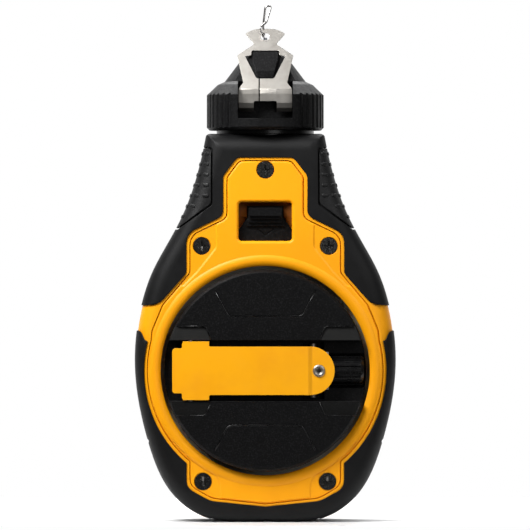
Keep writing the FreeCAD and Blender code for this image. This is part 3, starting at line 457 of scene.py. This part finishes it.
def bead(name, route, radius, front):
    """A half-sunk round bead on the crank disc, along a route of (x, height over the axis)."""
    inward = Vector((0, 1, 0))
    points = [Vector((x, -front, AXIS_Z + up)) * MM for x, up in route]
    vertices, faces = [], []
    for index, point in enumerate(points):
        ahead = points[min(index + 1, len(points) - 1)]
        behind = points[max(index - 1, 0)]
        along = (ahead - behind).normalized()
        across = along.cross(inward)
        for step in range(SIDES_OF_ROD):
            turn = 2 * math.pi * step / SIDES_OF_ROD
            vertices.append(point + (across * math.cos(turn) + inward * math.sin(turn)) * radius * MM)
    for ring in range(len(points) - 1):
        for step in range(SIDES_OF_ROD):
            low = ring * SIDES_OF_ROD
            nxt = (step + 1) % SIDES_OF_ROD
            faces.append((low + step, low + SIDES_OF_ROD + step, low + SIDES_OF_ROD + nxt, low + nxt))
    faces.append(tuple(range(SIDES_OF_ROD)))
    faces.append(tuple(reversed(range(len(vertices) - SIDES_OF_ROD, len(vertices)))))
    piece(name, vertices, faces, "crank", "gloss_black")


for level, up in LEVELS.items():
    left_half = [(-x, up * z) for x, z in LINE_ROUTE]
    right_half = [(x, up * z) for x, z in reversed(LINE_ROUTE)]
    middle = (0, up * LINE_ROUTE[-1][1])
    bead(level + "_line_bead", [*left_half, middle, *right_half], LINE_RADIUS, LINE_FRONT)
    for side_name, side in SIDES.items():
        bead(f"{level}_{side_name}_rim", [(side * x, up * z) for x, z in RIM_ROUTE], RIM_RADIUS, RIM_FRONT)


# --- Sloped floors in the cross recesses of the cover screws ------------------------------------------

# x and z of each screw, and how far the recess floor lies behind the head's front
SCREW_PLACES = ((0, 134.8), (-24.3, 105.7), (24.3, 105.7), (-23.8, 15.6), (23.8, 15.6))
HEAD_FRONT = 18.45
ARM_HALF_WIDTH = 0.38
ARM_REACH = 1.88
DEPTH_AT_END = 0.2
DEPTH_AT_BEND = 0.8
DEPTH_AT_CENTRE = 1.0
DEPTH_BELOW = 1.04


def cross_outline():
    """A cross in (across, up, depth of its floor) points, anticlockwise seen from the front."""
    arm = ((ARM_HALF_WIDTH, -ARM_HALF_WIDTH, DEPTH_AT_BEND), (ARM_REACH, -ARM_HALF_WIDTH, DEPTH_AT_END),
           (ARM_REACH, ARM_HALF_WIDTH, DEPTH_AT_END))
    points = []
    for quarter in range(4):
        turn = quarter * math.pi / 2
        points += [(a * math.cos(turn) - b * math.sin(turn), a * math.sin(turn) + b * math.cos(turn), depth)
                   for a, b, depth in arm]
    return points


def recess_floors():
    """Closed cross-shaped inserts whose faces slope down to the middle of each screw."""
    vertices, faces = [], []
    outline = cross_outline()
    count = len(outline)
    for x, z in SCREW_PLACES:
        start = len(vertices)
        vertices += [Vector((x + a, depth - HEAD_FRONT, z + b)) * MM for a, b, depth in outline]
        vertices += [Vector((x + a, DEPTH_BELOW - HEAD_FRONT, z + b)) * MM for a, b, depth in outline]
        vertices.append(Vector((x, DEPTH_AT_CENTRE - HEAD_FRONT, z)) * MM)
        centre = len(vertices) - 1
        for bend in range(0, count, 3):
            next_bend = (bend + 3) % count
            faces.append((start + bend, start + bend + 1, start + bend + 2, start + next_bend))
            faces.append((start + bend, start + next_bend, centre))
        for k in range(count):
            nxt = (k + 1) % count
            faces.append((start + k, start + count + k, start + count + nxt, start + nxt))
        faces.append(tuple(start + count + k for k in reversed(range(count))))
    piece("cover_screw_recesses", vertices, faces, "housing", "black_screw", smooth=False)


recess_floors()


# --- Stage, light and camera ------------------------------------------------------------------------

def floor():
    """A small pale table top: its far edge hides behind the reel's foot."""
    mesh = bpy.data.meshes.new("floor")
    mesh.from_pydata([(-0.5, -0.05, 0), (0.5, -0.05, 0), (0.5, 0.25, 0), (-0.5, 0.25, 0)], [], [(0, 1, 2, 3)])
    obj = bpy.data.objects.new("floor", mesh)
    bpy.context.scene.collection.objects.link(obj)
    finish = Finish("pale_floor", (0.8, 0.8, 0.8), 0.6, specular=0.2)
    finish.tint(finish.noise(0.5, 2), 0.4, 0.8, (0.78, 0.78, 0.78))
    mesh.materials.append(finish.material)


def softbox(name, place, target, width, height, power):
    """A rectangular lamp that faces a target."""
    data = bpy.data.lights.new(name, "AREA")
    data.shape = "RECTANGLE"
    data.size = width
    data.size_y = height
    data.energy = power
    lamp = bpy.data.objects.new(name, data)
    bpy.context.scene.collection.objects.link(lamp)
    lamp.location = place
    lamp.rotation_euler = (Vector(target) - Vector(place)).to_track_quat("-Z", "Y").to_euler()


def surroundings():
    """A white wall behind the reel that fades to a dim room in front of it and below."""
    world = bpy.data.worlds.new("studio")
    bpy.context.scene.world = world
    world.use_nodes = True
    nodes, links = world.node_tree.nodes, world.node_tree.links
    direction = nodes.new("ShaderNodeTexCoord").outputs["Generated"]
    parts = nodes.new("ShaderNodeSeparateXYZ")
    links.new(direction, parts.inputs["Vector"])
    ramp = nodes.new("ShaderNodeMapRange")
    ramp.interpolation_type = "SMOOTHSTEP"
    ramp.inputs["From Min"].default_value = 0.0
    ramp.inputs["From Max"].default_value = 0.85
    ramp.inputs["To Min"].default_value = 0.05
    ramp.inputs["To Max"].default_value = 1.0
    slant = nodes.new("ShaderNodeMath")
    slant.operation = "MULTIPLY_ADD"
    slant.inputs[1].default_value = 0.2
    links.new(parts.outputs["Z"], slant.inputs[0])
    links.new(parts.outputs["Y"], slant.inputs[2])
    links.new(slant.outputs["Value"], ramp.inputs["Value"])
    background = nodes["Background"]
    background.inputs["Color"].default_value = (1, 1, 1, 1)
    links.new(ramp.outputs["Result"], background.inputs["Strength"])


def studio():
    """A near lamp at the left shoulder, a weak one in front, two high at the sides and a wide one behind."""
    middle = (0, 0, 0.1)
    softbox("key", (-0.15, -0.2, 0.35), middle, 0.15, 0.15, 1.75)
    softbox("fill", (0.3, -0.8, 0.2), middle, 0.35, 0.35, 0.7)
    softbox("left_high", (-0.45, -0.5, 0.6), middle, 0.3, 0.3, 2.2)
    softbox("right_high", (0.5, -0.5, 0.55), middle, 0.3, 0.3, 1.6)
    softbox("top", (0.0, 0.45, 0.75), (0, 0.05, 0), 0.7, 0.4, 9)
    bpy.context.scene.view_settings.view_transform = "Standard"


def camera():
    """Seen straight from the front, from far enough away that the depths hardly change the scale."""
    distance = 2.6
    frame_width = 0.2041
    data = bpy.data.cameras.new("camera")
    data.sensor_width = 36
    data.lens = data.sensor_width * distance / frame_width
    data.clip_end = 20
    eye = bpy.data.objects.new("camera", data)
    bpy.context.scene.collection.objects.link(eye)
    eye.location = (-0.0001, -distance, 0.0984)
    eye.rotation_euler = (math.radians(90), 0, 0)
    bpy.context.scene.camera = eye


floor()
surroundings()
studio()
camera()
